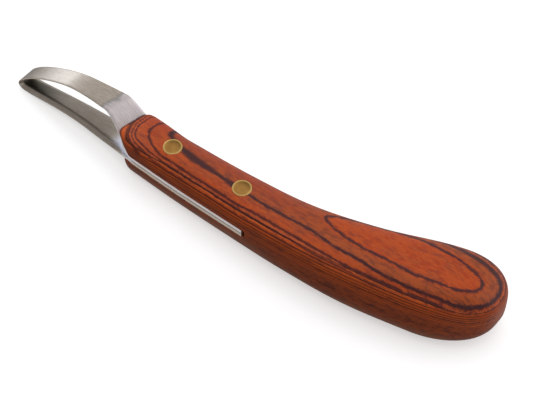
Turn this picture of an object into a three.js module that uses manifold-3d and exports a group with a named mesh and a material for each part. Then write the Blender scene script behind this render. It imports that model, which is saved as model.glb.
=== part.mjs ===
// A closed loop knife: one steel strip is bent into a loop, and both of its ends lie on each
// other in a slot in a curved handle of laminated wood, held by two brass cutlery rivets.
//
// The knife is drawn in its own frame, in millimetres: +X runs from the wood's front end to the
// butt, +Y is the side that the handle bends towards, and Z = 0 is the middle of the slot. At the
// end the whole knife is turned a little so that the flat on its underside is level.

import * as THREE from 'three';
import { mergeVertices } from 'three/addons/utils/BufferGeometryUtils.js';
import Module from 'manifold-3d';

// ---- Driving dimensions, mm ----

const GAP = 0.3; // left between neighbouring pieces

// Handle: values at stations spaced evenly from the front end to the butt
const HANDLE_LENGTH = 130;
const HALF_WIDTHS = [7.3, 7.8, 8.4, 9.5, 11.6, 13.4, 12.9];
const HALF_HEIGHTS = [9.2, 9.7, 10.0, 10.4, 11.4, 12.6, 13.8];
const BENDS = [0, 0, 0.6, 2.1, 6.0, 12.4, 17.7];
const SECTION_POWER = 3.4; // 2 is an ellipse, more is squarer
const FRONT_POWER = 7; // the upper half's section is squarer at the front end
const SQUARE_LENGTH = 18; // and changes over this length
const BUTT_ROUNDING = 20.7;
const FRONT_ROUNDING = 8; // the front end's outline in plan is half an ellipse this long
const FRONT_SHOULDER = 4; // and has reached the full width here
const BUTT_PLAN_POWER = 2.3; // of the butt's outline in plan
const BUTT_SIDE_POWER = 0.8; // the height falls less than the width does
const FRONT_SKEW = 12.5 * THREE.MathUtils.DEG2RAD; // the front end and the loop's root, in plan
const LOWER_FRONT = -0.3; // where the lower half starts, on the near side at the slot
const LOWER_FRONT_TILT = 14 * THREE.MathUtils.DEG2RAD; // and slopes back towards the underside
const FRONT_FLAT_DEPTH = 0.45; // how far the underside's flat cuts in, near each end
const REAR_FLAT_DEPTH = 0.9;
const FLAT_STATIONS = [12, 112];

// Strip
const STRIP_THICKNESS = 1.5;
const TANG_END = 50.4;
const SLOT_END = 51.5;
const MOUTH = 4.4; // where the tangs end and the loop starts to bend
const TIP_WIDTH = 6.1;
const TAPER_LENGTH = 17.5; // the width falls towards TIP_WIDTH over this length
const EDGE_THICKNESS = 0.4;
const EDGE_BEVEL = 1.5; // across the strip, on the loop's inside
const TANG_INSET = 0.15; // the tang's edges lie this far under the wood's sides
const SKEW_FADE = 4.5; // the skew comes in over this length in front of the mouth
const SKEW_KEPT = 8; // and is kept over this length of strip
const SKEW_GONE = 50; // and has gone at this one
const BEVEL_FADE = 8; // and the bevel over this length of strip

// Rivets
const RIVET_STATIONS = { front: 16.6, rear: 44.3 };
const RIVET_HEAD_RADIUS = 3.175;
const RIVET_HEAD_THICKNESS = 1.4;
const RIVET_RIM = 0.45;
const RIVET_DISH = 0.3;
const RIVET_RECESS = 0.25; // of the lower head, under the flat
const TUBE_RADIUS = 2.1;
const TUBE_BORE = 1.5;
const PIN_RADIUS = TUBE_BORE - GAP;

// Details that several pieces share
const EASE = 0.15; // a small corner's bevel
const FAR = 40; // past every side of the handle's section, for cutters

// Fineness
const SECTION_POINTS = 32;
const BODY_STATIONS = 24;
const FRONT_STATIONS = 7;
const FRONT_CAP = 1.5; // the first ring stands this many steps behind the ellipse's end
const BUTT_STATIONS = 12;
const BUTT_CAP = 0.4; // the last ring stops this share of a step before the end
const LOOP_STATIONS = 84;
const TANG_STATIONS = 7;
const ROUND_SEGMENTS = 24;
const LEAD = 5; // the cutters reach this far past the wood

// ---- Materials ----

const wood = new THREE.MeshStandardMaterial({ color: 0x9c3c18, roughness: 0.3, metalness: 0 });
const steel = new THREE.MeshStandardMaterial({ color: 0xb4aaa4, roughness: 0.35, metalness: 1 });
const brass = new THREE.MeshStandardMaterial({ color: 0xb98a3e, roughness: 0.35, metalness: 1 });

// ---- Outline of the handle ----

// A smooth curve through values that are spaced evenly along the handle
function alongHandle(values) {
  const points = values.map((v, i) => {
    return new THREE.Vector2((i * HANDLE_LENGTH) / (values.length - 1), v);
  });
  const curve = new THREE.SplineCurve(points);
  return (x) => {
    return curve.getPoint(THREE.MathUtils.clamp(x / HANDLE_LENGTH, 0, 1)).y;
  };
}

const halfWidth = alongHandle(HALF_WIDTHS);
const halfHeight = alongHandle(HALF_HEIGHTS);
const bend = alongHandle(BENDS);

// The level of the flat underside at a station
const flatStart = FRONT_FLAT_DEPTH - halfHeight(FLAT_STATIONS[0]);
const flatStop = REAR_FLAT_DEPTH - halfHeight(FLAT_STATIONS[1]);
const flatSlope = (flatStop - flatStart) / (FLAT_STATIONS[1] - FLAT_STATIONS[0]);
const underside = (x) => flatStart + flatSlope * (x - FLAT_STATIONS[0]);

// ---- Solids ----

const wasm = await Module();
wasm.setup();

function toSolid(geometry) {
  const bare = geometry.clone();
  bare.deleteAttribute('normal');
  bare.deleteAttribute('uv');
  const merged = mergeVertices(bare, 1e-5);
  const vertProperties = new Float32Array(merged.attributes.position.array);
  const triVerts = new Uint32Array(merged.index.array);
  return new wasm.Manifold(new wasm.Mesh({ numProp: 3, vertProperties, triVerts }));
}

function toGeometry(solid) {
  const mesh = solid.getMesh();
  const geometry = new THREE.BufferGeometry();
  geometry.setAttribute('position', new THREE.BufferAttribute(mesh.vertProperties, 3));
  geometry.setIndex(new THREE.BufferAttribute(mesh.triVerts, 1));
  geometry.computeVertexNormals();
  return geometry;
}

// Skins a row of closed rings that all have the same number of points, and caps both ends
function skin(rings) {
  const count = rings[0].length;
  const positions = rings.flat().flatMap((p) => [p.x, p.y, p.z]);
  const index = [];
  for (let i = 0; i + 1 < rings.length; i += 1) {
    for (let j = 0; j < count; j += 1) {
      const a = i * count + j;
      const b = i * count + ((j + 1) % count);
      index.push(a, b, b + count, a, b + count, a + count);
    }
  }
  const last = (rings.length - 1) * count;
  for (let j = 1; j + 1 < count; j += 1) {
    index.push(0, j + 1, j);
    index.push(last, last + j, last + j + 1);
  }
  const geometry = new THREE.BufferGeometry();
  geometry.setAttribute('position', new THREE.Float32BufferAttribute(positions, 3));
  geometry.setIndex(index);
  geometry.computeVertexNormals();
  return geometry;
}

// ---- Route of the strip's middle surface, seen from the side: x forward and back, y up ----

const tangLevel = (GAP + STRIP_THICKNESS) / 2;

function makeLoop() {
  const v = (x, z) => new THREE.Vector2(x, z);
  const route = new THREE.CurvePath();
  const add = (...points) => route.add(new THREE.CubicBezierCurve(...points));
  add(v(MOUTH, tangLevel), v(3.2, tangLevel), v(2.7, 1.2), v(1.9, 2.8)); // up out of the slot
  add(v(1.9, 2.8), v(0.7, 5.2), v(-4.1, 13.9), v(-7.2, 13.7)); // over the crest
  add(v(-7.2, 13.7), v(-13.5, 13.3), v(-20.8, 13.1), v(-26.4, 11.0)); // along the top
  add(v(-26.4, 11.0), v(-33.9, 8.2), v(-42.9, 3.2), v(-47.5, -1.4)); // down to the tip
  add(v(-47.5, -1.4), v(-50.9, -4.8), v(-50.6, -5.9), v(-47.3, -5.9)); // round the tip
  add(v(-47.3, -5.9), v(-41.5, -5.7), v(-29.0, -2.8), v(-16.6, -3.2)); // back along the bottom
  add(v(-16.6, -3.2), v(-7.0, -3.5), v(1.4, -tangLevel), v(MOUTH, -tangLevel)); // into the slot
  return route;
}

const loopRoute = makeLoop();
const loopPoints = loopRoute.getSpacedPoints(LOOP_STATIONS);
const loopLength = loopRoute.getLength();

function loopSkew(x, fromMouth) {
  const kept = 1 - THREE.MathUtils.smoothstep(fromMouth, SKEW_KEPT, SKEW_GONE);
  return FRONT_SKEW * THREE.MathUtils.smoothstep(MOUTH - x, 0, SKEW_FADE) * kept;
}

// One station of the strip: place, outward direction, half widths and plan angle
function loopStation(i) {
  const place = loopPoints[i];
  const before = loopPoints[Math.max(i - 1, 0)];
  const after = loopPoints[Math.min(i + 1, LOOP_STATIONS)];
  const along = after.clone().sub(before).normalize();
  const fromMouth = (Math.min(i, LOOP_STATIONS - i) / LOOP_STATIONS) * loopLength;
  const mouthWidth = 2 * (halfWidth(MOUTH) - TANG_INSET);
  const width = TIP_WIDTH + (mouthWidth - TIP_WIDTH) * Math.exp(-fromMouth / TAPER_LENGTH);
  return {
    x: place.x,
    z: place.y,
    out: new THREE.Vector2(along.y, -along.x),
    near: -width / 2,
    far: width / 2,
    skew: loopSkew(place.x, fromMouth),
    bevel: EDGE_BEVEL * THREE.MathUtils.smoothstep(fromMouth, 0, BEVEL_FADE),
  };
}

// The tangs follow the wood's sides
function tangStation(x, side) {
  return {
    x,
    z: side * tangLevel,
    out: new THREE.Vector2(0, side),
    near: bend(x) - halfWidth(x) + TANG_INSET,
    far: bend(x) + halfWidth(x) - TANG_INSET,
    skew: 0,
    bevel: 0,
  };
}

function tangRow(side) {
  const step = (TANG_END - MOUTH) / TANG_STATIONS;
  return Array.from({ length: TANG_STATIONS }, (_, i) => tangStation(TANG_END - i * step, side));
}

const loopRow = Array.from({ length: LOOP_STATIONS + 1 }, (_, i) => loopStation(i));
const stripRow = [...tangRow(1), ...loopRow, ...tangRow(-1).reverse()];

// A point at a height over the strip's middle surface and a place across it
function onStrip(station, across, height) {
  return new THREE.Vector3(
    station.x + across * Math.tan(station.skew) + height * station.out.x,
    across,
    station.z + height * station.out.y,
  );
}

// ---- Pieces ----

function makeStrip() {
  const half = STRIP_THICKNESS / 2;
  const rings = stripRow.map((s) => {
    const square = EDGE_THICKNESS + EDGE_BEVEL - s.bevel;
    const edge = half - Math.min(square, STRIP_THICKNESS - EASE);
    const flat = Math.max(s.bevel, EASE);
    return [
      onStrip(s, s.far, half),
      onStrip(s, s.far, edge),
      onStrip(s, s.far - flat, -half),
      onStrip(s, s.near + flat, -half),
      onStrip(s, s.near, edge),
      onStrip(s, s.near, half),
    ];
  });
  return skin(rings);
}

// The space that the strip and the loop's inside take, a gap wider than the strip
function makeSlotCutter() {
  const height = STRIP_THICKNESS / 2 + GAP;
  const row = [tangStation(SLOT_END, 1), ...stripRow, tangStation(SLOT_END, -1)];
  const sides = [-FAR, FAR].map((across) => row.map((s) => onStrip(s, across, height)));
  const caps = sides.map((side) => {
    return THREE.ShapeUtils.triangulateShape(
      side.map((p) => new THREE.Vector2(p.x, p.z)),
      [],
    );
  });
  const count = row.length;
  const index = [];
  for (let i = 0; i < count; i += 1) {
    const j = (i + 1) % count;
    index.push(i, i + count, j + count, i, j + count, j);
  }
  caps[0].forEach(([a, b, c]) => index.push(a, b, c));
  caps[1].forEach(([a, b, c]) => index.push(a + count, c + count, b + count));
  const geometry = new THREE.BufferGeometry();
  const positions = sides.flat().flatMap((p) => [p.x, p.y, p.z]);
  geometry.setAttribute('position', new THREE.Float32BufferAttribute(positions, 3));
  geometry.setIndex(index);
  return geometry;
}

function handleRing(x) {
  const rounding = THREE.MathUtils.clamp((x - (HANDLE_LENGTH - BUTT_ROUNDING)) / BUTT_ROUNDING, 0, 1);
  const left = Math.pow(1 - Math.pow(rounding, BUTT_PLAN_POWER), 1 / BUTT_PLAN_POWER);
  const blunt = THREE.MathUtils.clamp((FRONT_SHOULDER - x) / FRONT_ROUNDING, 0, 1);
  const width = halfWidth(x) * left * Math.sqrt(1 - blunt * blunt);
  const height = halfHeight(x) * Math.pow(left, BUTT_SIDE_POWER);
  const squareness = 1 - THREE.MathUtils.smoothstep(x, 0, SQUARE_LENGTH);
  const upperPower = THREE.MathUtils.lerp(SECTION_POWER, FRONT_POWER, squareness);
  return Array.from({ length: SECTION_POINTS }, (_, i) => {
    const angle = (2 * Math.PI * i) / SECTION_POINTS;
    const c = Math.cos(angle);
    const s = Math.sin(angle);
    const power = 2 / (s < 0 ? SECTION_POWER : upperPower);
    return new THREE.Vector3(
      x,
      bend(x) + width * Math.sign(c) * Math.pow(Math.abs(c), power),
      height * Math.sign(s) * Math.pow(Math.abs(s), power),
    );
  });
}

function makeHandleBlank() {
  const shoulder = HANDLE_LENGTH - BUTT_ROUNDING;
  const rings = [];
  for (let i = 0; i < FRONT_STATIONS; i += 1) {
    const turn = (Math.PI / 2) * ((i + FRONT_CAP) / (FRONT_STATIONS + FRONT_CAP));
    rings.push(handleRing(FRONT_SHOULDER - FRONT_ROUNDING * Math.cos(turn)));
  }
  for (let i = 0; i < BODY_STATIONS; i += 1) {
    rings.push(handleRing(FRONT_SHOULDER + ((shoulder - FRONT_SHOULDER) * i) / BODY_STATIONS));
  }
  for (let i = 0; i < BUTT_STATIONS; i += 1) {
    const turn = (Math.PI / 2) * (i / (BUTT_STATIONS - BUTT_CAP));
    rings.push(handleRing(shoulder + BUTT_ROUNDING * Math.sin(turn)));
  }
  return skin(rings);
}

const cylinder = (radius, bottom, top, x, y) => {
  const shape = new THREE.CylinderGeometry(radius, radius, top - bottom, ROUND_SEGMENTS);
  shape.rotateX(Math.PI / 2);
  shape.translate(x, y, (top + bottom) / 2);
  return shape;
};

function rivetPlace(station) {
  return {
    x: station,
    y: bend(station),
    top: halfHeight(station),
    bottom: underside(station) + RIVET_RECESS,
  };
}

function makeHandle() {
  let solid = toSolid(makeHandleBlank()).subtract(toSolid(makeSlotCutter()));

  // Lower half's front end, square to the loop in plan
  const front = new THREE.BoxGeometry(4 * LEAD, 2 * FAR, FAR);
  front.translate(-2 * LEAD, 0, -FAR / 2);
  front.rotateY(-LOWER_FRONT_TILT);
  front.rotateZ(-FRONT_SKEW);
  front.translate(LOWER_FRONT, -halfWidth(0), 0);
  solid = solid.subtract(toSolid(front));

  // Flat underside
  const floor = new THREE.BoxGeometry(2 * HANDLE_LENGTH, 2 * FAR, FAR);
  floor.translate(HANDLE_LENGTH / 2, 0, -FAR / 2);
  floor.rotateY(-Math.atan(flatSlope));
  floor.translate(0, 0, underside(0));
  solid = solid.subtract(toSolid(floor));

  // Rivet holes with a seat for each head
  for (const station of Object.values(RIVET_STATIONS)) {
    const { x, y, top, bottom } = rivetPlace(station);
    const seat = RIVET_HEAD_THICKNESS + GAP;
    solid = solid
      .subtract(toSolid(cylinder(TUBE_RADIUS + GAP, -FAR, FAR, x, y)))
      .subtract(toSolid(cylinder(RIVET_HEAD_RADIUS + GAP, top - seat, FAR, x, y)))
      .subtract(toSolid(cylinder(RIVET_HEAD_RADIUS + GAP, -FAR, bottom + seat, x, y)));
  }
  return toGeometry(solid);
}

function makeBlade() {
  let solid = toSolid(makeStrip());
  for (const station of Object.values(RIVET_STATIONS)) {
    const hole = cylinder(TUBE_RADIUS + GAP, -LEAD, LEAD, station, bend(station));
    solid = solid.subtract(toSolid(hole));
  }
  return toGeometry(solid);
}

// Outline of a dished head, from its middle to the corner under its edge; up is 1 or -1
function headOutline(face, up) {
  return [
    [0, face - up * RIVET_DISH],
    [RIVET_HEAD_RADIUS - RIVET_RIM - EASE, face - up * RIVET_DISH],
    [RIVET_HEAD_RADIUS - RIVET_RIM, face],
    [RIVET_HEAD_RADIUS - EASE, face],
    [RIVET_HEAD_RADIUS, face - up * EASE],
    [RIVET_HEAD_RADIUS, face - up * RIVET_HEAD_THICKNESS],
  ];
}

function turned(outline) {
  const shape = new THREE.LatheGeometry(
    outline.map(([r, z]) => new THREE.Vector2(r, z)),
    ROUND_SEGMENTS,
  );
  shape.rotateX(Math.PI / 2);
  return toGeometry(toSolid(shape));
}

// The half whose head is on top has a hollow shank
function makeRivetHead({ top, bottom }) {
  const shankEnd = bottom + RIVET_HEAD_THICKNESS + GAP;
  const boreEnd = top - RIVET_HEAD_THICKNESS;
  return turned(
    [
      ...headOutline(top, 1),
      [TUBE_RADIUS, top - RIVET_HEAD_THICKNESS],
      [TUBE_RADIUS, shankEnd],
      [TUBE_BORE, shankEnd],
      [TUBE_BORE, boreEnd],
      [0, boreEnd],
    ].reverse(),
  );
}

// The half whose head is on the underside has a solid pin
function makeRivetPin({ top, bottom }) {
  const pinEnd = top - RIVET_HEAD_THICKNESS - 2 * GAP;
  return turned([
    ...headOutline(bottom, -1),
    [PIN_RADIUS, bottom + RIVET_HEAD_THICKNESS],
    [PIN_RADIUS, pinEnd],
    [0, pinEnd],
  ]);
}

// ---- Assembly ----

function piece(name, geometry, material) {
  const mesh = new THREE.Mesh(geometry, material);
  mesh.name = name;
  return mesh;
}

const knife = new THREE.Group();
knife.add(piece('handle', makeHandle(), wood));
knife.add(piece('loop_blade', makeBlade(), steel));
for (const [name, station] of Object.entries(RIVET_STATIONS)) {
  const place = rivetPlace(station);
  const rivet = new THREE.Group();
  rivet.position.set(place.x, place.y, 0);
  rivet.add(piece(`${name}_rivet_head`, makeRivetHead(place), brass.clone()));
  rivet.add(piece(`${name}_rivet_pin`, makeRivetPin(place), brass.clone()));
  knife.add(rivet);
}

// Level the underside, then put the origin under the middle of the knife
knife.rotation.y = Math.atan(flatSlope);
knife.updateMatrixWorld(true);
const size = new THREE.Box3().setFromObject(knife, true);
const middle = size.getCenter(new THREE.Vector3());
knife.position.set(-middle.x, -middle.y, -size.min.z);

const part = new THREE.Group();
part.add(knife);
part.updateMatrixWorld(true);

export default part;
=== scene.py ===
"""Looks of the closed loop knife: laminated wood handle, bent steel strip and brass rivets.

The pieces are made in the knife's own frame, in millimetres: +X runs from the wood's front end to
the butt, +Y is the side that the handle bends towards, and Z = 0 is the middle of the slot.
make_object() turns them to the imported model's frame, in metres, where the knife lies on its flat
underside.
"""

import math

import bpy
import numpy as np
from mathutils import Matrix, Vector


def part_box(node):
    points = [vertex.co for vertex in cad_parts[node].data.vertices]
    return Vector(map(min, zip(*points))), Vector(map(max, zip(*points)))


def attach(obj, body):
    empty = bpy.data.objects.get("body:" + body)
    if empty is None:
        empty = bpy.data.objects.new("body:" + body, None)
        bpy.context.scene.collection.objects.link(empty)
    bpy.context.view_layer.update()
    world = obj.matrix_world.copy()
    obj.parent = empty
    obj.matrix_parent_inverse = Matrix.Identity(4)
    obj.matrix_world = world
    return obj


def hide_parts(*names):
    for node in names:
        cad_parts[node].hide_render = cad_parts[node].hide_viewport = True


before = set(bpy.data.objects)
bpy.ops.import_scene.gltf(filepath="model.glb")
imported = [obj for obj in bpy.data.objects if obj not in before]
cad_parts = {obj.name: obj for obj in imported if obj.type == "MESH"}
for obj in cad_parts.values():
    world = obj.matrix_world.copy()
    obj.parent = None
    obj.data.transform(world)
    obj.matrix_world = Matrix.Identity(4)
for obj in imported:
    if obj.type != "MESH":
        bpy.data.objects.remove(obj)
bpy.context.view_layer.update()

# ---- Sizes in mm and angles, as in the CAD model ----

HANDLE_LENGTH = 130.0
HALF_WIDTHS = [7.3, 7.8, 8.4, 9.5, 11.6, 13.4, 12.9]
HALF_HEIGHTS = [9.2, 9.7, 10.0, 10.4, 11.4, 12.6, 13.8]
BENDS = [0.0, 0.0, 0.6, 2.1, 6.0, 12.4, 17.7]
SECTION_POWER = 3.4
FRONT_POWER = 7.0
SQUARE_LENGTH = 18.0
BUTT_ROUNDING = 20.7
FRONT_ROUNDING = 8.0
FRONT_SHOULDER = 4.0
LOWER_FRONT = -0.3
LOWER_FRONT_TILT = math.radians(14)
BUTT_PLAN_POWER = 2.3
BUTT_SIDE_POWER = 0.8
FRONT_SKEW = math.radians(12.5)
FRONT_FLAT_DEPTH = 0.45
REAR_FLAT_DEPTH = 0.9
FLAT_STATIONS = (12.0, 112.0)

STRIP_THICKNESS = 1.5
TANG_GAP = 0.3
TANG_LEVEL = (TANG_GAP + STRIP_THICKNESS) / 2
TANG_END = 50.4
SLOT_END = 51.5
MOUTH = 4.4
TIP_WIDTH = 6.1
TAPER_LENGTH = 17.5
EDGE_THICKNESS = 0.4
EDGE_BEVEL = 1.5
TANG_INSET = 0.15
SKEW_FADE = 4.5
SKEW_KEPT = 8.0
SKEW_GONE = 50.0
BEVEL_FADE = 8.0

RIVET_STATIONS = {"front": 16.6, "rear": 44.3}
HEAD_RADIUS = 3.175
HEAD_THICKNESS = 1.4
HEAD_RIM = 0.45
HEAD_DISH = 0.3
TUBE_RADIUS = 2.1
TUBE_BORE = 1.5
PIN_RADIUS = 1.2
RIVET_RECESS = 0.25

# Route of the strip's middle surface, seen from the side: Bezier pieces of (x, z)
LOOP_ROUTE = [
    [(MOUTH, TANG_LEVEL), (3.2, TANG_LEVEL), (2.7, 1.2), (1.9, 2.8)],
    [(1.9, 2.8), (0.7, 5.2), (-4.1, 13.9), (-7.2, 13.7)],
    [(-7.2, 13.7), (-13.5, 13.3), (-20.8, 13.1), (-26.4, 11.0)],
    [(-26.4, 11.0), (-33.9, 8.2), (-42.9, 3.2), (-47.5, -1.4)],
    [(-47.5, -1.4), (-50.9, -4.8), (-50.6, -5.9), (-47.3, -5.9)],
    [(-47.3, -5.9), (-41.5, -5.7), (-29.0, -2.8), (-16.6, -3.2)],
    [(-16.6, -3.2), (-7.0, -3.5), (1.4, -TANG_LEVEL), (MOUTH, -TANG_LEVEL)],
]

# Sizes that only the looks need
WOOD_EDGE = 0.3  # radius of the wood's edges at the slot
FLAT_EDGE = 0.8  # radius round the flat underside
SLOT_PLAY = 0.05  # between wood and tang, closed up with glue
FRONT_PLAY = 0.3  # between the wood's front end and the rising strip
GRIND_START = TANG_END - MOUTH + 18.3  # along the strip, where the ground part of the loop starts
SEAT_RADIUS = 2.95  # of the hollow in the wood that a rivet's head covers
SEAT_ROOM = 0.1
STRIP_EASE = 0.12  # rounding of the strip's long corners
BEVEL_STEPS = (0.33, 0.67, 0.93)  # places of points across a bevel, as shares of its width
BEVEL_END = 1.06  # where the flat inside begins, as a share of the same width
DISH_REACH = 2.75  # radius at which a rivet head's dish would come level with its rim
RIM_GLEAM = (HEAD_RADIUS - 0.7, HEAD_RADIUS - 0.35)  # radii over which a head turns brighter, a painted highlight round its rim

# How finely the meshes are made
CELL = 0.42  # size of the wood mesh's cells
WOOD_LOW = (-3.0, -11.0, -15.0)  # corners of the grid that the wood is found in
WOOD_HIGH = (HANDLE_LENGTH + 1, 33.0, 15.0)
NORMAL_REACH = 0.08
SETTLING_STEPS = 5  # that move the wood's points onto its surface
ROUTE_STEPS = 200  # of each Bezier piece
SLOT_POINTS = 160  # along the loop, for the slot's outline
LOOP_POINTS = 260  # along the loop, for the strip
TANG_POINTS = 35
ROUND_STEPS = 64
CURVE_STEPS = 8  # between two points of a glue line

# The veneers' glue lines, as they show on the broad top: closed outlines of (x, y)
LOOP_LINE = [
    (71.6, 7.4), (77, 5.5), (87, 4.9), (97, 5.8), (105, 6.1), (112, 7.7), (118, 9.3),
    (122, 12.2), (123.2, 15.2), (121.3, 17.2), (115, 18.2), (107, 18.6), (99, 18.2),
    (88, 15.8), (79, 12.6), (73.5, 9.8),
]  # fmt: skip
STREAK_LINE = [
    (12.6, 4.2), (14.5, 2.6), (19.3, 1.3), (25, 0.5), (32, 0.3), (40, 0), (57, 0), (65, 0.6),
    (73, 0.8), (81, 0.3), (89, 0.8), (96, 0.8), (103.4, 1.7), (110, 2.8), (116.8, 4.7),
    (121.3, 6.6), (124.9, 9.4), (127.2, 13), (127.9, 17.2), (126.8, 20.4), (123.5, 22.2),
    (113, 22.6), (100, 21.5), (85, 18.5), (70, 14), (57, 11.5), (40, 9.5), (20, 8.2), (14, 6.8),
]  # fmt: skip
NEXT_LINE = [
    (6.3, 1.5), (6.7, 0), (8.6, -2), (11, -3.4), (14, -4.3), (18, -4.7), (44, -4.8), (52, -4.3),
    (65, -3.8), (84, -2.9), (91.5, -2), (104.5, 0.2), (112, 1.9), (118, 3.6), (123, 6),
    (127, 9.8), (129, 14), (129.3, 18), (128, 22), (124, 24), (110, 24.5), (85, 20), (57, 13),
    (30, 10.5), (12, 8.5), (7.5, 5.8),
]  # fmt: skip
OUTER_LINE = [
    (2.3, 1), (2.6, -1), (3.2, -2.7), (4.4, -4), (6.5, -4.8), (10, -5.4), (16, -5.8), (30, -6),
    (50, -5.7), (65, -5.1), (76, -4.6), (90, -3.3), (104, -1.2), (113, 0.8), (120, 3),
    (125.5, 6.4), (129, 10.5), (130.3, 15), (130.3, 19), (128.5, 24), (110, 26), (85, 21.5),
    (57, 14), (30, 11.5), (10, 9.5), (4, 7),
]  # fmt: skip
LINE_LEVELS = (1.0, 0.0, -0.7, -1.2)  # of those four lines, in mm
STREAK_SMUDGES = ((0.5, 12.6, 1.6), (0.95, 25.5, 6.5), (0.6, 41.0, 2.6))  # extra width, place, reach
FAR_BUTT_SMUDGE = (0.5, 22.0, 2.5)  # extra width, place across the handle, reach
FAR_BUTT_START = (104.0, 112.0)
OUTER_SLOPE = 0.2  # how fast the level falls outside the last line
INNER_SLOPE = 0.1  # and how fast it rises inside the first
EASY_DROP = 0.8  # how far the wood falls away from its top before the veneers show their edges

# Where shade is painted on the strip's inside, as shares and places along X
INSIDE_SHADE_SHARE = 0.85
TIP_CLEARING = (0.45, -44.0, -28.0)
MOUTH_CLEARING = (0.4, -12.0, -3.0)
# share and places along X of a painted bluish highlight on the strip's inside by the mouth
GLINT_SHARE = 0.9
GLINT_REACH = (-9.0, -3.0, 3.0, 6.0)
INSIDE_DEPTH = (0.4, 0.7)  # below the strip's middle, where its inside face begins

# Camera, in the knife's frame
CAMERA_AIM = Vector((48.51, 7.54, 0.0))
CAMERA_DISTANCE = 474.1
CAMERA_AZIMUTH = math.radians(38.65)
CAMERA_ELEVATION = math.radians(53.43)
CAMERA_ROLL = math.radians(-0.23)
CAMERA_SENSOR = 36.0
CAMERA_LENS = 101.3

FLOOR_REACH = 3.0  # m


# ---- Small helpers ----


def smoothstep(value, low, high):
    t = np.clip((np.asarray(value, float) - low) / (high - low), 0, 1)
    return t * t * (3 - 2 * t)


def along_handle(values):
    """Smooth curve through values spaced evenly along the handle (Catmull-Rom, as in the CAD)"""
    v = np.array(values, float)
    last = len(v) - 1

    def curve(x):
        place = np.clip(np.asarray(x, float) / HANDLE_LENGTH, 0, 1) * last
        i = np.minimum(place.astype(int), last)
        t = place - i
        p0, p1 = v[np.maximum(i - 1, 0)], v[i]
        p2, p3 = v[np.minimum(i + 1, last)], v[np.minimum(i + 2, last)]
        p0 = np.where(i == 0, p1, p0)
        v0, v1 = (p2 - p0) / 2, (p3 - p1) / 2
        return (2 * p1 - 2 * p2 + v0 + v1) * t**3 + (3 * p2 - 3 * p1 - 2 * v0 - v1) * t**2 + v0 * t + p1

    return curve


half_width = along_handle(HALF_WIDTHS)
half_height = along_handle(HALF_HEIGHTS)
bend = along_handle(BENDS)

flat_start = FRONT_FLAT_DEPTH - float(half_height(FLAT_STATIONS[0]))
flat_stop = REAR_FLAT_DEPTH - float(half_height(FLAT_STATIONS[1]))
flat_slope = (flat_stop - flat_start) / (FLAT_STATIONS[1] - FLAT_STATIONS[0])


def blunted_width(x):
    """Half the wood's width, with the front end's outline in plan"""
    blunt = np.clip((FRONT_SHOULDER - x) / FRONT_ROUNDING, 0, 0.98)
    return half_width(x) * np.sqrt(1 - blunt * blunt)


def section_power(x):
    return FRONT_POWER + (SECTION_POWER - FRONT_POWER) * smoothstep(x, 0, SQUARE_LENGTH)


def underside(x):
    return flat_start + flat_slope * (x - FLAT_STATIONS[0])


def smooth_max(a, b, radius):
    """The larger of two distances, rounded where they meet"""
    h = np.clip(radius - np.abs(a - b), 0, None) / radius
    return np.maximum(a, b) + h * h * radius / 4


# ---- The strip's route ----


def bezier(points, t):
    a, b, c, d = (np.array(p, float) for p in points)
    t = t[:, None]
    return a * (1 - t) ** 3 + 3 * b * t * (1 - t) ** 2 + 3 * c * t * t * (1 - t) + d * t**3


def loop_points(count):
    """Points spaced evenly along the loop, and how far each is from the mouth"""
    t = np.linspace(0, 1, ROUTE_STEPS + 1)[1:]
    fine = np.vstack([[LOOP_ROUTE[0][0]], *[bezier(piece, t) for piece in LOOP_ROUTE]])
    run = np.concatenate([[0], np.cumsum(np.linalg.norm(np.diff(fine, axis=0), axis=1))])
    place = np.linspace(0, run[-1], count)
    points = np.stack([np.interp(place, run, fine[:, k]) for k in (0, 1)], axis=1)
    return points, np.minimum(place, run[-1] - place)


def outward(points):
    """Unit normals of the route that point out of the loop"""
    along = np.gradient(points, axis=0)
    along /= np.linalg.norm(along, axis=1)[:, None]
    return np.stack([along[:, 1], -along[:, 0]], axis=1)


def skew_at(x, from_mouth=0.0):
    kept = 1 - smoothstep(from_mouth, SKEW_KEPT, SKEW_GONE)
    return FRONT_SKEW * smoothstep(MOUTH - x, 0, SKEW_FADE) * kept


# ---- The handle's surface, as a distance that is negative inside the wood ----


def outline_distance(points, outline):
    """Signed distance from plane points to a closed outline, positive inside"""
    start, stop = outline, np.roll(outline, -1, axis=0)
    nearest = np.full(len(points), 1e9)
    crossings = np.zeros(len(points), int)
    for a, b in zip(start, stop):
        edge = b - a
        t = np.clip(((points - a) @ edge) / (edge @ edge), 0, 1)
        gap = points - a - t[:, None] * edge
        nearest = np.minimum(nearest, np.einsum("ij,ij->i", gap, gap))
        spans = (a[1] > points[:, 1]) != (b[1] > points[:, 1])
        if edge[1] != 0:
            crossings += spans & (points[:, 0] < a[0] + (points[:, 1] - a[1]) * edge[0] / edge[1])
    return np.where(crossings % 2 == 1, 1, -1) * np.sqrt(nearest)


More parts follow.
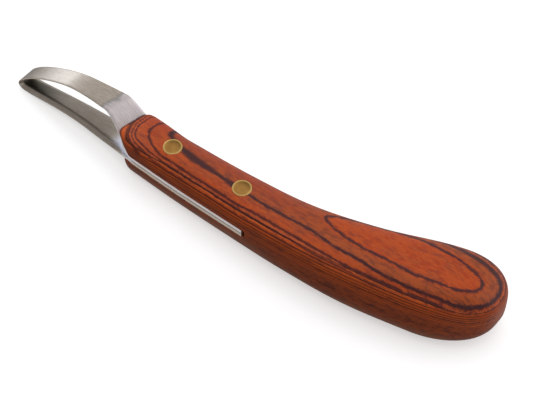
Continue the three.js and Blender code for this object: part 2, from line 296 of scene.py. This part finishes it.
class SlotMap:
    """How deep a place is in the room that the strip takes, seen from the side"""

    LOW = np.array([-14.0, -16.0])
    HIGH = np.array([56.0, 18.0])
    STEP = 0.1

    def __init__(self):
        points, from_mouth = loop_points(SLOT_POINTS)
        play = SLOT_PLAY + (FRONT_PLAY - SLOT_PLAY) * smoothstep(from_mouth, 0, 4)
        around = points + outward(points) * (STRIP_THICKNESS / 2 + play)[:, None]
        reach = TANG_LEVEL + STRIP_THICKNESS / 2 + SLOT_PLAY
        around[0] = (MOUTH, reach)
        around[-1] = (MOUTH, -reach)
        outline = np.vstack([[(SLOT_END, reach)], around, [(SLOT_END, -reach)]])
        axes = [np.arange(a, b, self.STEP) for a, b in zip(self.LOW, self.HIGH)]
        grid = np.stack(np.meshgrid(*axes, indexing="ij"), axis=-1)
        inside = outline_distance(grid.reshape(-1, 2), outline)
        self.values = inside.reshape(grid.shape[:2])

    def __call__(self, x, z):
        place = [(v - low) / self.STEP for v, low in zip((x, z), self.LOW)]
        i, j = (np.clip(p.astype(int), 0, n - 2) for p, n in zip(place, self.values.shape))
        s, t = (np.clip(p - q, 0, 1) for p, q in zip(place, (i, j)))
        v = self.values
        near = v[i, j] * (1 - s) + v[i + 1, j] * s
        far = v[i, j + 1] * (1 - s) + v[i + 1, j + 1] * s
        return near * (1 - t) + far * t


slot_map = SlotMap()


def blank_distance(x, y, z):
    """The wood before the slot and the flat are cut"""
    round_share = np.clip((x - (HANDLE_LENGTH - BUTT_ROUNDING)) / BUTT_ROUNDING, 0, None)
    across = y - bend(x)
    power = np.where(z < 0, SECTION_POWER, section_power(x))
    a = (np.abs(across) / blunted_width(x)) ** power + 1e-9
    b = (np.abs(z) / half_height(x)) ** power + 1e-9
    w = 1 / (a + b)
    for _ in range(5):  # the section's share, where its height shrinks less than its width
        rest = a * w + b * w**BUTT_SIDE_POWER - 1
        w = np.maximum(w - rest / (a + BUTT_SIDE_POWER * b * w ** (BUTT_SIDE_POWER - 1)), 1e-9)
    share = w ** (-1 / power)
    m = BUTT_PLAN_POWER
    whole = (share**m + round_share**m) ** (1 / m)
    return (whole - 1) * np.maximum(np.hypot(across, z), 2) / np.maximum(share, 0.2)


def wood_distance(p):
    x, y, z = p[..., 0], p[..., 1], p[..., 2]
    flat = (underside(x) - z) / math.hypot(1, flat_slope)
    body = smooth_max(blank_distance(x, y, z), flat, FLAT_EDGE)
    station = x
    for _ in range(3):
        station = x - y * np.tan(skew_at(station))
    slot = slot_map(station, z)
    from_side = y + float(half_width(0))
    front = from_side * math.sin(FRONT_SKEW) - (x - LOWER_FRONT) * math.cos(FRONT_SKEW)
    front = front * math.cos(LOWER_FRONT_TILT) - z * math.sin(LOWER_FRONT_TILT)
    block = np.minimum(front, -z)
    wood = smooth_max(body, np.maximum(slot, block), WOOD_EDGE * 2)
    for rivet in RIVET_STATIONS.values():
        away = np.hypot(x - rivet, y - float(bend(rivet)))
        deep = float(half_height(rivet)) - HEAD_THICKNESS - SEAT_ROOM
        low = float(underside(rivet)) + RIVET_RECESS + HEAD_THICKNESS + SEAT_ROOM
        seat = np.minimum(SEAT_RADIUS - away, np.maximum(z - deep, low - z))
        wood = np.maximum(wood, np.maximum(seat, TUBE_RADIUS + SEAT_ROOM - away))
    return wood


def gradient(function, p, reach=0.02):
    parts = []
    for axis in range(3):
        shift = np.zeros(3)
        shift[axis] = reach
        parts.append((function(p + shift) - function(p - shift)) / (2 * reach))
    return np.stack(parts, axis=-1)


def surface_net(values, low, step):
    """Quads round the zero level of a grid: one vertex in each cell that the surface crosses"""
    inside = values < 0
    corners = np.array([(i, j, k) for i in (0, 1) for j in (0, 1) for k in (0, 1)])
    nx, ny, nz = (n - 1 for n in values.shape)
    held = sum(inside[i : i + nx, j : j + ny, k : k + nz].astype(np.int8) for i, j, k in corners)
    cells = np.argwhere((held > 0) & (held < 8))
    number = np.full((nx, ny, nz), -1)
    number[tuple(cells.T)] = np.arange(len(cells))
    total = np.zeros((len(cells), 3))
    hits = np.zeros(len(cells))
    for start in corners:
        for axis in range(3):
            if start[axis]:
                continue
            stop = start + np.eye(3, dtype=int)[axis]
            v0 = values[tuple((cells + start).T)]
            v1 = values[tuple((cells + stop).T)]
            crossed = (v0 < 0) != (v1 < 0)
            t = np.where(crossed, v0 / np.where(crossed, v0 - v1, 1), 0)
            total += np.where(crossed[:, None], start + t[:, None] * np.eye(3)[axis], 0)
            hits += crossed
    points = low + (cells + total / hits[:, None]) * step
    quads = []
    for axis in range(3):
        u, v = (k for k in range(3) if k != axis)
        first = np.moveaxis(inside, axis, 0)
        edges = np.argwhere(first[:-1] != first[1:])
        leaves = first[tuple(edges.T)]
        at = np.empty_like(edges)
        at[:, axis], at[:, u], at[:, v] = edges[:, 0], edges[:, 1], edges[:, 2]
        ring = []
        for du, dv in ((1, 1), (0, 1), (0, 0), (1, 0)):
            cell = at.copy()
            cell[:, u] -= du
            cell[:, v] -= dv
            ring.append(number[tuple(cell.T)])
        ring = np.stack(ring, axis=1)
        turn = leaves if axis != 1 else ~leaves
        ring[~turn] = ring[~turn][:, ::-1]
        quads.append(ring)
    return points, np.vstack(quads)


# ---- From the knife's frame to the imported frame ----

lean = Matrix.Rotation(math.atan(flat_slope), 4, "Y")


def leaned(points):
    return np.asarray(points, float) @ np.array(lean.to_3x3()).T


def frame_shift(handle_points):
    """Where the leaned handle has to move, in mm, to fill the CAD handle's box"""
    turned = leaned(handle_points)
    low, high = (np.array(corner) * 1000 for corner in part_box("handle"))
    shift = (low + high) / 2 - (turned.min(axis=0) + turned.max(axis=0)) / 2
    shift[2] = low[2] - turned[:, 2].min()
    return shift


# ---- Meshes ----


def make_object(name, points, faces, shift, material, normals=None, sharp_deg=None):
    mesh = bpy.data.meshes.new(name)
    placed = (leaned(points) + shift) / 1000
    mesh.from_pydata(placed.tolist(), [], [list(f) for f in faces])
    mesh.update()
    mesh.shade_smooth()
    if sharp_deg is not None:
        mesh.set_sharp_from_angle(angle=math.radians(sharp_deg))
    if normals is not None:
        mesh.normals_split_custom_set_from_vertices(leaned(normals).tolist())
    mesh.materials.append(material)
    obj = bpy.data.objects.new(name, mesh)
    bpy.context.scene.collection.objects.link(obj)
    return obj


def add_attribute(obj, name, values):
    values = np.asarray(values, np.float32)
    kind, key = ("FLOAT", "value") if values.ndim == 1 else ("FLOAT_VECTOR", "vector")
    layer = obj.data.attributes.new(name, kind, "POINT")
    layer.data.foreach_set(key, values.ravel())


def loft(rings):
    """Points and faces of a row of closed rings, with both ends closed"""
    count = len(rings[0])
    points = np.vstack(rings)
    faces = []
    for i in range(len(rings) - 1):
        for j in range(count):
            a, b = i * count + j, i * count + (j + 1) % count
            faces.append((a, b, b + count, a + count))
    last = (len(rings) - 1) * count
    faces.append(tuple(reversed(range(count))))
    faces.append(tuple(range(last, last + count)))
    return points, faces


def handle_mesh():
    low = np.array(WOOD_LOW)
    axes = [np.arange(a, b + CELL, CELL) for a, b in zip(WOOD_LOW, WOOD_HIGH)]
    grid = np.stack(np.meshgrid(*axes, indexing="ij"), axis=-1)
    values = wood_distance(grid)
    points, faces = surface_net(values, low, CELL)
    for _ in range(SETTLING_STEPS):
        slope = gradient(wood_distance, points)
        step = wood_distance(points) / np.maximum(np.einsum("ij,ij->i", slope, slope), 0.1)
        points = points - np.clip(step, -CELL / 2, CELL / 2)[:, None] * slope
    normals = gradient(wood_distance, points, NORMAL_REACH)
    normals /= np.linalg.norm(normals, axis=1)[:, None]
    return points, faces, normals


# ---- Veneer levels on the wood ----


def closed_curve(points):
    """Smooth closed outline through points (Catmull-Rom)"""
    p = np.array(points, float)
    before, after, next_after = np.roll(p, 1, 0), np.roll(p, -1, 0), np.roll(p, -2, 0)
    rows = []
    for t in np.arange(CURVE_STEPS) / CURVE_STEPS:
        rows.append(
            0.5
            * (
                2 * p
                + (after - before) * t
                + (2 * before - 5 * p + 4 * after - next_after) * t**2
                + (3 * p - before - 3 * after + next_after) * t**3
            )
        )
    return np.stack(rows, axis=1).reshape(-1, 2)


def top_height(x, y):
    """Height of the wood's upper surface over a place in plan"""
    round_share = np.clip((x - (HANDLE_LENGTH - BUTT_ROUNDING)) / BUTT_ROUNDING, 0, 1)
    m = BUTT_PLAN_POWER
    left = np.clip(1 - round_share**m, 1e-6, 1) ** (1 / m)
    across = np.clip(np.abs(y - bend(x)) / (blunted_width(x) * left), 0, 1)
    power = section_power(x)
    arch = (1 - across**power) ** (1 / power)
    return half_height(x) * left**BUTT_SIDE_POWER * arch


def veneer_levels(points):
    """Level in the veneer stack, and signed distances to the four lines on top"""
    plan = points[:, :2]
    outlines = [closed_curve(line) for line in (LOOP_LINE, STREAK_LINE, NEXT_LINE, OUTER_LINE)]
    inside = [outline_distance(plan, outline) for outline in outlines]
    level = LINE_LEVELS[-1] + OUTER_SLOPE * inside[-1]
    for k in (2, 1, 0):
        outer, inner = inside[k + 1], inside[k]
        share = np.clip(outer, 0, None) / np.maximum(np.abs(outer) + np.abs(inner), 1e-6)
        between = LINE_LEVELS[k + 1] + (LINE_LEVELS[k] - LINE_LEVELS[k + 1]) * share
        level = np.where(outer > 0, between, level)
    level = np.where(inside[0] > 0, LINE_LEVELS[0] + INNER_SLOPE * inside[0], level)

    streak = outlines[1]
    streak_height = top_height(streak[:, 0], streak[:, 1])
    reference = top_height(plan[:, 0], plan[:, 1])
    outside = np.flatnonzero(inside[1] < 0)
    for part in np.array_split(outside, max(1, len(outside) // 4000)):
        gaps = ((plan[part, None, :] - streak[None]) ** 2).sum(axis=2)
        weights = 1 / (gaps + 0.3) ** 2
        reference[part] = (weights * streak_height).sum(axis=1) / weights.sum(axis=1)
    drop = np.clip(reference - points[:, 2], 0, None)
    level = level - (drop - EASY_DROP * (1 - np.exp(-drop / EASY_DROP)))
    return level, inside, drop


# ---- Materials ----


def srgb(r, g, b):
    def linear(c):
        c /= 255
        return c / 12.92 if c <= 0.04045 else ((c + 0.055) / 1.055) ** 2.4

    return (linear(r), linear(g), linear(b), 1.0)


class Nodes:
    """A material's node tree, built by calls that return sockets"""

    def __init__(self, name):
        self.material = bpy.data.materials.new(name)
        self.material.use_nodes = True
        self.tree = self.material.node_tree
        self.shader = self.tree.nodes["Principled BSDF"]

    def node(self, kind, inputs=(), **settings):
        made = self.tree.nodes.new(kind)
        for key, value in settings.items():
            setattr(made, key, value)
        for key, value in dict(inputs).items():
            self.set(made.inputs[key], value)
        return made

    def set(self, socket, value):
        if isinstance(value, bpy.types.NodeSocket):
            self.tree.links.new(value, socket)
        else:
            socket.default_value = value

    def surface(self, **inputs):
        for key, value in inputs.items():
            self.set(self.shader.inputs[key.replace("_", " ")], value)

    def attribute(self, name, output="Fac"):
        return self.node("ShaderNodeAttribute", attribute_name=name).outputs[output]

    def math(self, operation, a, b=0.0):
        return self.node("ShaderNodeMath", {0: a, 1: b}, operation=operation).outputs[0]

    def scaled(self, vector, scale):
        made = self.node("ShaderNodeVectorMath", {0: vector, 1: scale}, operation="MULTIPLY")
        return made.outputs[0]

    def noise(self, vector, scale, detail=2.0, roughness=0.5):
        inputs = {"Vector": vector, "Scale": scale, "Detail": detail, "Roughness": roughness}
        return self.node("ShaderNodeTexNoise", inputs).outputs["Fac"]

    def noise_1d(self, value, scale, detail=2.0):
        inputs = {"W": value, "Scale": scale, "Detail": detail}
        return self.node("ShaderNodeTexNoise", inputs, noise_dimensions="1D").outputs["Fac"]

    def step(self, value, low, high, to_low=0.0, to_high=1.0):
        inputs = {"Value": value, 1: low, 2: high, 3: to_low, 4: to_high}
        made = self.node("ShaderNodeMapRange", inputs, interpolation_type="SMOOTHSTEP")
        return made.outputs[0]

    def mix(self, share, a, b):
        made = self.node("ShaderNodeMix", data_type="RGBA")
        self.set(made.inputs[0], share)
        self.set(made.inputs[6], a)
        self.set(made.inputs[7], b)
        return made.outputs[2]

    def ramp(self, value, stops):
        made = self.node("ShaderNodeValToRGB", {0: value})
        elements = made.color_ramp.elements
        elements[0].position, elements[0].color = stops[0]
        elements[1].position, elements[1].color = stops[-1]
        for position, color in stops[1:-1]:
            elements.new(position).color = color
        return made.outputs[0]

    def bump(self, height, strength, distance):
        inputs = {"Height": height, "Strength": strength, "Distance": distance}
        return self.node("ShaderNodeBump", inputs).outputs[0]


def wood_material():
    n = Nodes("laminated_wood")
    plan = n.attribute("plan", "Vector")
    level = n.attribute("level")

    # waviness that every veneer shares
    drift = n.noise(n.scaled(plan, (0.03, 0.15, 0.15)), 1.0, 3.0)
    wavy = n.math("ADD", level, n.math("MULTIPLY", n.math("SUBTRACT", drift, 0.5), 0.4))

    # colours of the veneers on top, from the outermost inwards
    top = n.ramp(
        n.step(level, -2.2, 1.2),
        [
            (0.0, srgb(226, 112, 74)),
            (0.30, srgb(186, 80, 42)),
            (0.45, srgb(184, 72, 28)),
            (0.62, srgb(172, 68, 28)),
            (0.70, srgb(138, 64, 36)),
            (0.92, srgb(142, 66, 32)),
            (1.0, srgb(182, 64, 10)),
        ],
    )
    # and of those down the sides
    tone = n.noise_1d(wavy, 0.7, 1.5)
    side = n.ramp(
        tone,
        [
            (0.34, srgb(52, 20, 14)),
            (0.42, srgb(112, 42, 22)),
            (0.47, srgb(244, 110, 40)),
            (0.54, srgb(214, 86, 32)),
            (0.59, srgb(66, 26, 18)),
            (0.66, srgb(240, 112, 42)),
        ],
    )
    # painted shade: the sides turn darker brown further down, away from the light above
    side = n.mix(n.step(level, -11.0, -4.5, 0.75, 0.0), side, srgb(100, 42, 20))
    # painted reflection: the lowest part of the sides is mixed paler, like the floor's haze seen at a
    # grazing angle
    side = n.mix(n.step(level, -20.0, -13.0, 0.8, 0.0), side, srgb(168, 118, 96))
    spots = n.node("ShaderNodeSeparateXYZ", {0: plan}).outputs
    # more of that painted reflection on the lower half, towards the front
    towards_front = n.step(spots["X"], 45.0, 75.0, 1.0, 0.0)
    pale = n.math("MULTIPLY", n.step(level, -16.0, -9.5, 0.9, 0.0), towards_front)
    side = n.mix(pale, side, srgb(182, 134, 112))
    color = n.mix(n.step(level, -2.4, -1.5), side, top)

    # fibres: long soft streaks, blotches and short dark pores
    streaks = n.noise(n.scaled(plan, (0.06, 1.3, 1.3)), 1.0, 4.0, 0.6)
    color = n.mix(n.step(streaks, 0.35, 0.75, 0.0, 0.35), color, srgb(124, 42, 24))
    blotches = n.noise(n.scaled(plan, (0.12, 0.35, 0.35)), 1.0, 3.0, 0.6)
    color = n.mix(n.step(blotches, 0.45, 0.68, 0.0, 0.5), color, srgb(118, 56, 42))
    figure = n.noise(n.scaled(plan, (0.3, 0.9, 0.9)), 1.0, 4.0, 0.7)
    color = n.mix(n.step(figure, 0.42, 0.62, 0.45, 0.0), color, srgb(208, 92, 26))
    front_share = n.step(spots["X"], 50.0, 80.0, 0.4, 0.0)
    redder = n.math("MULTIPLY", n.step(spots["Y"], 0.5, 4.5), front_share)
    color = n.mix(redder, color, srgb(164, 56, 38))
    pores = n.noise(n.scaled(plan, (0.35, 4.5, 4.5)), 1.0, 2.0)
    color = n.mix(n.step(pores, 0.60, 0.72, 0.0, 0.45), color, srgb(84, 28, 20))

    # glue lines on top, by their distance, and down the sides, by level
    dark = srgb(56, 24, 32)
    waver = n.noise(n.scaled(plan, (0.4, 0.9, 0.9)), 1.0, 3.0, 0.7)
    ragged = n.noise(n.scaled(plan, (0.5, 2.6, 2.6)), 1.0, 4.0, 0.75)
    shake = n.math("MULTIPLY", n.math("SUBTRACT", ragged, 0.5), 1.1)
    near_top = n.step(n.attribute("drop"), 1.5, 3.5, 1.0, 0.0)
    for name, width, strength, offset in (
        ("line_loop", 0.72, 0.9, 0.0),
        ("line_streak", 0.68, 0.92, 0.0),
        ("line_next", 0.55, 0.85, 0.0),
        ("line_outer", 0.42, 0.8, 0.0),
        ("line_outer", 0.36, 0.7, 1.1),
        ("line_outer", 0.4, 0.7, 2.1),
    ):
        place = n.math("ADD", n.attribute(name), offset)
        away = n.math("ABSOLUTE", n.math("ADD", place, shake))
        reach = n.math("MULTIPLY", n.step(waver, 0.25, 0.75, 0.35, 1.2), width)
        if name == "line_streak":
            reach = n.math("ADD", reach, n.attribute("heavy"))
        share = n.math("DIVIDE", away, reach)
        mask = n.math("MULTIPLY", n.step(share, 0.35, 1.5, 1.0, 0.0), strength)
        color = n.mix(n.math("MULTIPLY", mask, near_top), color, dark)
    edges = n.node(
        "ShaderNodeTexVoronoi",
        {"W": wavy, "Scale": 0.8, "Randomness": 0.95},
        voronoi_dimensions="1D",
        feature="DISTANCE_TO_EDGE",
    ).outputs["Distance"]
    thin = n.step(edges, 0.05, 0.2, 0.9, 0.0)
    below = n.step(level, -1.8, -1.5, 1.0, 0.0)
    fading = n.step(level, -11.0, -3.0, 0.2, 1.0)
    lines = n.math("MULTIPLY", n.math("MULTIPLY", thin, below), fading)
    color = n.mix(lines, color, srgb(46, 18, 14))

    relief = n.math("MULTIPLY", pores, 0.3)
    n.surface(
        Base_Color=color,
        Roughness=n.step(streaks, 0.2, 0.8, 0.28, 0.40),
        Specular_IOR_Level=0.3,
        Normal=n.bump(relief, 0.15, 0.0002),
    )
    return n.material


def steel_material():
    n = Nodes("blade_steel")
    along = n.attribute("along", "Vector")
    run = n.node("ShaderNodeSeparateXYZ", {0: along}).outputs["X"]
    brushed = n.noise(n.scaled(along, (0.35, 3.0, 3.0)), 1.0, 5.0, 0.75)
    cloudy = n.noise(n.scaled(along, (0.12, 0.3, 0.3)), 1.0, 3.0)
    warm = n.mix(n.step(brushed, 0.25, 0.75), srgb(170, 157, 144), srgb(214, 201, 188))
    cool = n.mix(n.step(brushed, 0.25, 0.75), srgb(204, 194, 194), srgb(242, 232, 234))
    wander = n.math("MULTIPLY", n.math("SUBTRACT", cloudy, 0.5), 6.0)
    beyond = n.math("SUBTRACT", n.math("ADD", run, wander), GRIND_START)
    color = n.mix(n.step(beyond, -0.8, 0.8), cool, warm)
    color = n.mix(n.step(cloudy, 0.35, 0.7, 0.0, 0.25), color, srgb(176, 166, 154))
    smudge = n.step(n.math("ABSOLUTE", beyond), 0.2, 1.4, 0.4, 0.0)
    color = n.mix(smudge, color, srgb(112, 116, 120))
    # the inside: painted shade and a painted dark reflection, most of all in the tight bend under the
    # upper strip
    color = n.mix(n.attribute("painted_inside_shade"), color, srgb(66, 67, 60))
    # painted highlight: the inside near the mouth turns bluish white
    color = n.mix(n.attribute("painted_inside_glint"), color, srgb(234, 238, 255))
    n.surface(
        Base_Color=color,
        Metallic=1.0,
        Roughness=n.step(brushed, 0.2, 0.8, 0.30, 0.44),
        Normal=n.bump(brushed, 0.12, 0.0001),
    )
    return n.material


def brass_material():
    n = Nodes("brass")
    place = n.node("ShaderNodeTexCoord").outputs["Object"]
    tarnish = n.noise(place, 500.0, 3.0)
    scratches = n.noise(n.scaled(place, (600.0, 4000.0, 600.0)), 1.0, 3.0)
    color = n.mix(n.step(tarnish, 0.3, 0.75), srgb(190, 142, 76), srgb(172, 126, 68))
    # painted highlight: the head's rim is mixed brighter
    color = n.mix(n.attribute("rim"), color, srgb(224, 186, 112))
    n.surface(
        Base_Color=color,
        Metallic=1.0,
        Roughness=n.step(scratches, 0.25, 0.75, 0.24, 0.40),
        Normal=n.bump(scratches, 0.15, 0.00005),
    )
    return n.material


def floor_material():
    n = Nodes("floor")
    place = n.node("ShaderNodeTexCoord").outputs["Object"]
    shade = n.noise(place, 4.0, 2.0)
    pale = n.mix(shade, (0.80, 0.80, 0.80, 1), (0.83, 0.83, 0.83, 1))
    n.surface(Base_Color=pale, Roughness=0.9, Emission_Color=pale, Emission_Strength=0.6)
    return n.material


# ---- Pieces ----


def add_handle(material):
    points, faces, normals = handle_mesh()
    shift = frame_shift(points)
    obj = make_object("handle_wood", points, faces, shift, material, normals)
    level, inside, drop = veneer_levels(points)
    x, y = points[:, 0], points[:, 1]
    smudges = sum(a * np.exp(-(((x - b) / c) ** 2)) for a, b, c in STREAK_SMUDGES)
    extra, place, reach = FAR_BUTT_SMUDGE
    far_butt = extra * np.exp(-(((y - place) / reach) ** 2)) * smoothstep(x, *FAR_BUTT_START)
    add_attribute(obj, "plan", points)
    add_attribute(obj, "level", level)
    add_attribute(obj, "drop", drop)
    add_attribute(obj, "heavy", smudges + far_butt)
    for name, values in zip(("line_loop", "line_streak", "line_next", "line_outer"), inside):
        add_attribute(obj, name, values)
    return obj, shift


def strip_stations():
    """Rows of the strip: place, outward direction, near and far edge, skew, bevel"""
    loop, from_mouth = loop_points(LOOP_POINTS)
    out = outward(loop)
    out[0], out[-1] = (0, 1), (0, -1)
    mouth_width = 2 * (float(half_width(MOUTH)) - TANG_INSET)
    width = TIP_WIDTH + (mouth_width - TIP_WIDTH) * np.exp(-from_mouth / TAPER_LENGTH)
    rows = []
    for place, normal, wide, far_in in zip(loop, out, width, from_mouth):
        bevel = EDGE_BEVEL * float(smoothstep(far_in, 0, BEVEL_FADE))
        rows.append((*place, *normal, -wide / 2, wide / 2, float(skew_at(place[0], far_in)), bevel))
    tangs = np.linspace(TANG_END, MOUTH, TANG_POINTS + 1)[:-1]
    near, far = bend(tangs) - half_width(tangs) + TANG_INSET, bend(tangs) + half_width(tangs) - TANG_INSET
    for side, order in ((1, slice(None)), (-1, slice(None, None, -1))):
        tang = [
            (x, side * TANG_LEVEL, 0, side, a, b, 0, 0) for x, a, b in zip(tangs, near, far)
        ][order]
        rows = tang + rows if side == 1 else rows + tang
    return np.array(rows, float)


def add_blade(shift, material):
    half = STRIP_THICKNESS / 2
    rows = strip_stations()
    run = np.concatenate([[0], np.cumsum(np.linalg.norm(np.diff(rows[:, :2], axis=0), axis=1))])
    ease = STRIP_EASE
    rings, marks = [], []
    for (x, z, out_x, out_z, near, far, skew, bevel), gone in zip(rows, run):
        square = EDGE_THICKNESS + EDGE_BEVEL - bevel
        edge = half - min(square, STRIP_THICKNESS - ease)
        flat = max(bevel, ease)
        soft, lift = 0.3 * ease, ease * 0.6
        far_foot, near_foot = far - flat * BEVEL_END, near + flat * BEVEL_END
        section = [(far, half - ease), (far, edge + lift), (far - soft, edge)]
        section += [(far - flat * s, edge - (edge + half) * s) for s in BEVEL_STEPS]
        section += [(a, -half) for a in np.linspace(far_foot, near_foot, 8)]
        section += [(near + flat * s, edge - (edge + half) * s) for s in reversed(BEVEL_STEPS)]
        section += [(near + soft, edge), (near, edge + lift), (near, half - ease)]
        section += [(near + soft, half - soft), (near + ease, half)]
        section += [(a, half) for a in np.linspace(near + ease, far - ease, 12)[1:-1]]
        section += [(far - ease, half), (far - soft, half - soft)]
        rings.append([(x + a * math.tan(skew) + h * out_x, a, z + h * out_z) for a, h in section])
        marks += [(gone, a, h) for a, h in section]
    points, faces = loft(rings)
    obj = make_object("loop_strip", points, faces, shift, material, sharp_deg=35)
    add_attribute(obj, "along", np.array(marks))
    x, height = points[:, 0], np.array(marks)[:, 2]
    # painted shade on the loop's inside: darkest at the tip, clearing towards the mouth
    inside_shade = INSIDE_SHADE_SHARE
    for share, low, high in (TIP_CLEARING, MOUTH_CLEARING):
        inside_shade = inside_shade - share * smoothstep(x, low, high)
    inside = smoothstep(-height, *INSIDE_DEPTH)
    add_attribute(obj, "painted_inside_shade", inside_shade * inside)
    # where the painted highlight on the inside near the mouth lies
    rising, falling = smoothstep(x, *GLINT_REACH[:2]), 1 - smoothstep(x, *GLINT_REACH[2:])
    add_attribute(obj, "painted_inside_glint", GLINT_SHARE * rising * falling * inside)
    return obj


def turned(name, outline, centre, shift, material):
    """A round piece: outline of (radius, height) from the axis to the axis"""
    angles = np.linspace(0, 2 * math.pi, ROUND_STEPS, endpoint=False)
    points, faces, starts = [], [], []
    for radius, height in outline:
        starts.append((len(points), radius > 0))
        places = angles if radius > 0 else angles[:1]
        for angle in places:
            points.append(
                (centre[0] + radius * math.cos(angle), centre[1] + radius * math.sin(angle), height)
            )
    for (a, a_round), (b, b_round) in zip(starts, starts[1:]):
        for j in range(ROUND_STEPS):
            k = (j + 1) % ROUND_STEPS
            if a_round and b_round:
                faces.append((a + j, a + k, b + k, b + j))
            elif b_round:
                faces.append((a, b + k, b + j))
            else:
                faces.append((a + j, a + k, b))
    points = np.array(points)
    obj = make_object(name, points, faces, shift, material, sharp_deg=40)
    radii = np.hypot(points[:, 0] - centre[0], points[:, 1] - centre[1])
    # where the painted highlight round a head's rim lies
    add_attribute(obj, "rim", smoothstep(radii, *RIM_GLEAM))
    return obj


def head_outline(face, up):
    """A dished head, from its middle to the corner under its edge"""
    radii = (0, 0.6, 1.2, 1.7, 2.1, 2.4, 2.6)
    dish = [(r, HEAD_DISH * (1 - (r / DISH_REACH) ** 4)) for r in radii]
    rim = [(HEAD_RADIUS - HEAD_RIM, 0.03), (HEAD_RADIUS - 0.3, 0), (HEAD_RADIUS - 0.15, 0.01)]
    side = [(HEAD_RADIUS - 0.04, 0.06), (HEAD_RADIUS, 0.15), (HEAD_RADIUS, HEAD_THICKNESS)]
    return [(r, face - up * depth) for r, depth in dish + rim + side]


def add_rivet(name, x, shift, material):
    centre = (x, float(bend(x)))
    top, bottom = float(half_height(x)), float(underside(x)) + RIVET_RECESS
    shank_end = bottom + HEAD_THICKNESS + TANG_GAP
    bore_end = top - HEAD_THICKNESS
    tube = [(TUBE_RADIUS, bore_end), (TUBE_RADIUS, shank_end), (TUBE_BORE, shank_end)]
    head = head_outline(top, 1) + tube + [(TUBE_BORE, bore_end), (0, bore_end)]
    pin_end = top - HEAD_THICKNESS - 2 * TANG_GAP
    shank = [(PIN_RADIUS, bottom + HEAD_THICKNESS), (PIN_RADIUS, pin_end), (0, pin_end)]
    pin = head_outline(bottom, -1) + shank
    made = turned(f"{name}_rivet_cap", list(reversed(head)), centre, shift, material)
    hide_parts(f"{name}_rivet_head")
    other = turned(f"{name}_rivet_post", pin, centre, shift, material)
    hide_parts(f"{name}_rivet_pin")
    return [made, other]


# ---- Stage ----


def add_floor():
    mesh = bpy.data.meshes.new("floor")
    r = FLOOR_REACH
    mesh.from_pydata([(-r, -r, 0), (r, -r, 0), (r, r, 0), (-r, r, 0)], [], [(0, 1, 2, 3)])
    mesh.materials.append(floor_material())
    floor = bpy.data.objects.new("floor", mesh)
    bpy.context.scene.collection.objects.link(floor)
    floor.visible_diffuse = False
    floor.visible_glossy = False


def add_light(name, place, aim, size, power, color=(1, 1, 1)):
    data = bpy.data.lights.new(name, "AREA")
    data.shape = "RECTANGLE"
    data.size, data.size_y = size
    data.energy = power
    data.color = color
    light = bpy.data.objects.new(name, data)
    light.location = place
    light.rotation_euler = (Vector(aim) - Vector(place)).to_track_quat("-Z", "Y").to_euler()
    bpy.context.scene.collection.objects.link(light)
    return light


def room_light():
    """Soft light from all round: brighter from the far side and the butt's end, weaker from below"""
    world = bpy.data.worlds.new("room")
    world.use_nodes = True
    tree = world.node_tree

    def between(value, low, high, to_low, to_high):
        made = tree.nodes.new("ShaderNodeMapRange")
        made.interpolation_type = "SMOOTHSTEP"
        for i, number in enumerate((low, high, to_low, to_high)):
            made.inputs[i + 1].default_value = number
        tree.links.new(value, made.inputs[0])
        return made.outputs[0]

    parts = tree.nodes.new("ShaderNodeSeparateXYZ")
    tree.links.new(tree.nodes.new("ShaderNodeTexCoord").outputs["Generated"], parts.inputs[0])
    across = between(parts.outputs["Y"], -0.1, 0.5, 0.30, 0.72)
    height = between(parts.outputs["Z"], -0.35, 0.1, 0.45, 1.0)
    along = between(parts.outputs["X"], 0.0, 0.6, 1.0, 1.5)
    strength = across
    for factor in (height, along):
        product = tree.nodes.new("ShaderNodeMath")
        product.operation = "MULTIPLY"
        tree.links.new(strength, product.inputs[0])
        tree.links.new(factor, product.inputs[1])
        strength = product.outputs[0]
    tree.links.new(strength, tree.nodes["Background"].inputs["Strength"])
    tree.nodes["Background"].inputs["Color"].default_value = (1, 1, 1, 1)
    return world


def add_camera(shift):
    az, el = CAMERA_AZIMUTH, CAMERA_ELEVATION
    back = Vector((math.sin(az) * math.cos(el), -math.cos(az) * math.cos(el), math.sin(el)))
    level = Vector((math.cos(az), math.sin(az), 0))
    upright = back.cross(level)
    right = level * math.cos(CAMERA_ROLL) + upright * math.sin(CAMERA_ROLL)
    place = lean @ Matrix.Translation(CAMERA_AIM + back * CAMERA_DISTANCE)
    turn = Matrix((right, back.cross(right), back)).transposed().to_4x4()
    data = bpy.data.cameras.new("camera")
    data.sensor_width = CAMERA_SENSOR
    data.lens = CAMERA_LENS
    data.clip_end = 10
    camera = bpy.data.objects.new("camera", data)
    camera.matrix_world = place @ turn
    camera.location = (place.to_translation() + Vector(shift)) / 1000
    bpy.context.scene.collection.objects.link(camera)
    bpy.context.scene.camera = camera


wood, steel, brass = wood_material(), steel_material(), brass_material()
handle, shift = add_handle(wood)
blade = add_blade(shift, steel)
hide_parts("handle")
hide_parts("loop_blade")
rivets = [
    piece
    for name, station in RIVET_STATIONS.items()
    for piece in add_rivet(name, station, shift, brass)
]
for piece, slot in [(handle, "laminated_wood"), (blade, "blade_steel")] + [(r, "brass") for r in rivets]:
    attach(piece, "root")

add_camera(shift)
add_floor()
overhead = add_light("overhead", place=(-0.05, 0.0, 0.9), aim=(0, 0, 0), size=(0.7, 0.7), power=2.7)
overhead.visible_glossy = False
add_light(
    "tip_panel",
    place=(-0.95, 0.45, 0.16),
    aim=(-0.08, 0, 0.02),
    size=(0.3, 0.3),
    power=0.8,
    color=(0.76, 0.87, 1.0),
)
# a card on the floor that lights only the strip, from below
card = add_light(
    "edge_card", place=(-0.02, -0.1, 0.001), aim=(-0.02, -0.1, 1), size=(0.3, 0.17), power=0.095
)
card.visible_camera = False
lit = bpy.data.collections.new("card_lights_these")
lit.objects.link(blade)
card.light_linking.receiver_collection = lit
bpy.context.scene.world = room_light()
bpy.context.scene.view_settings.view_transform = "Standard"
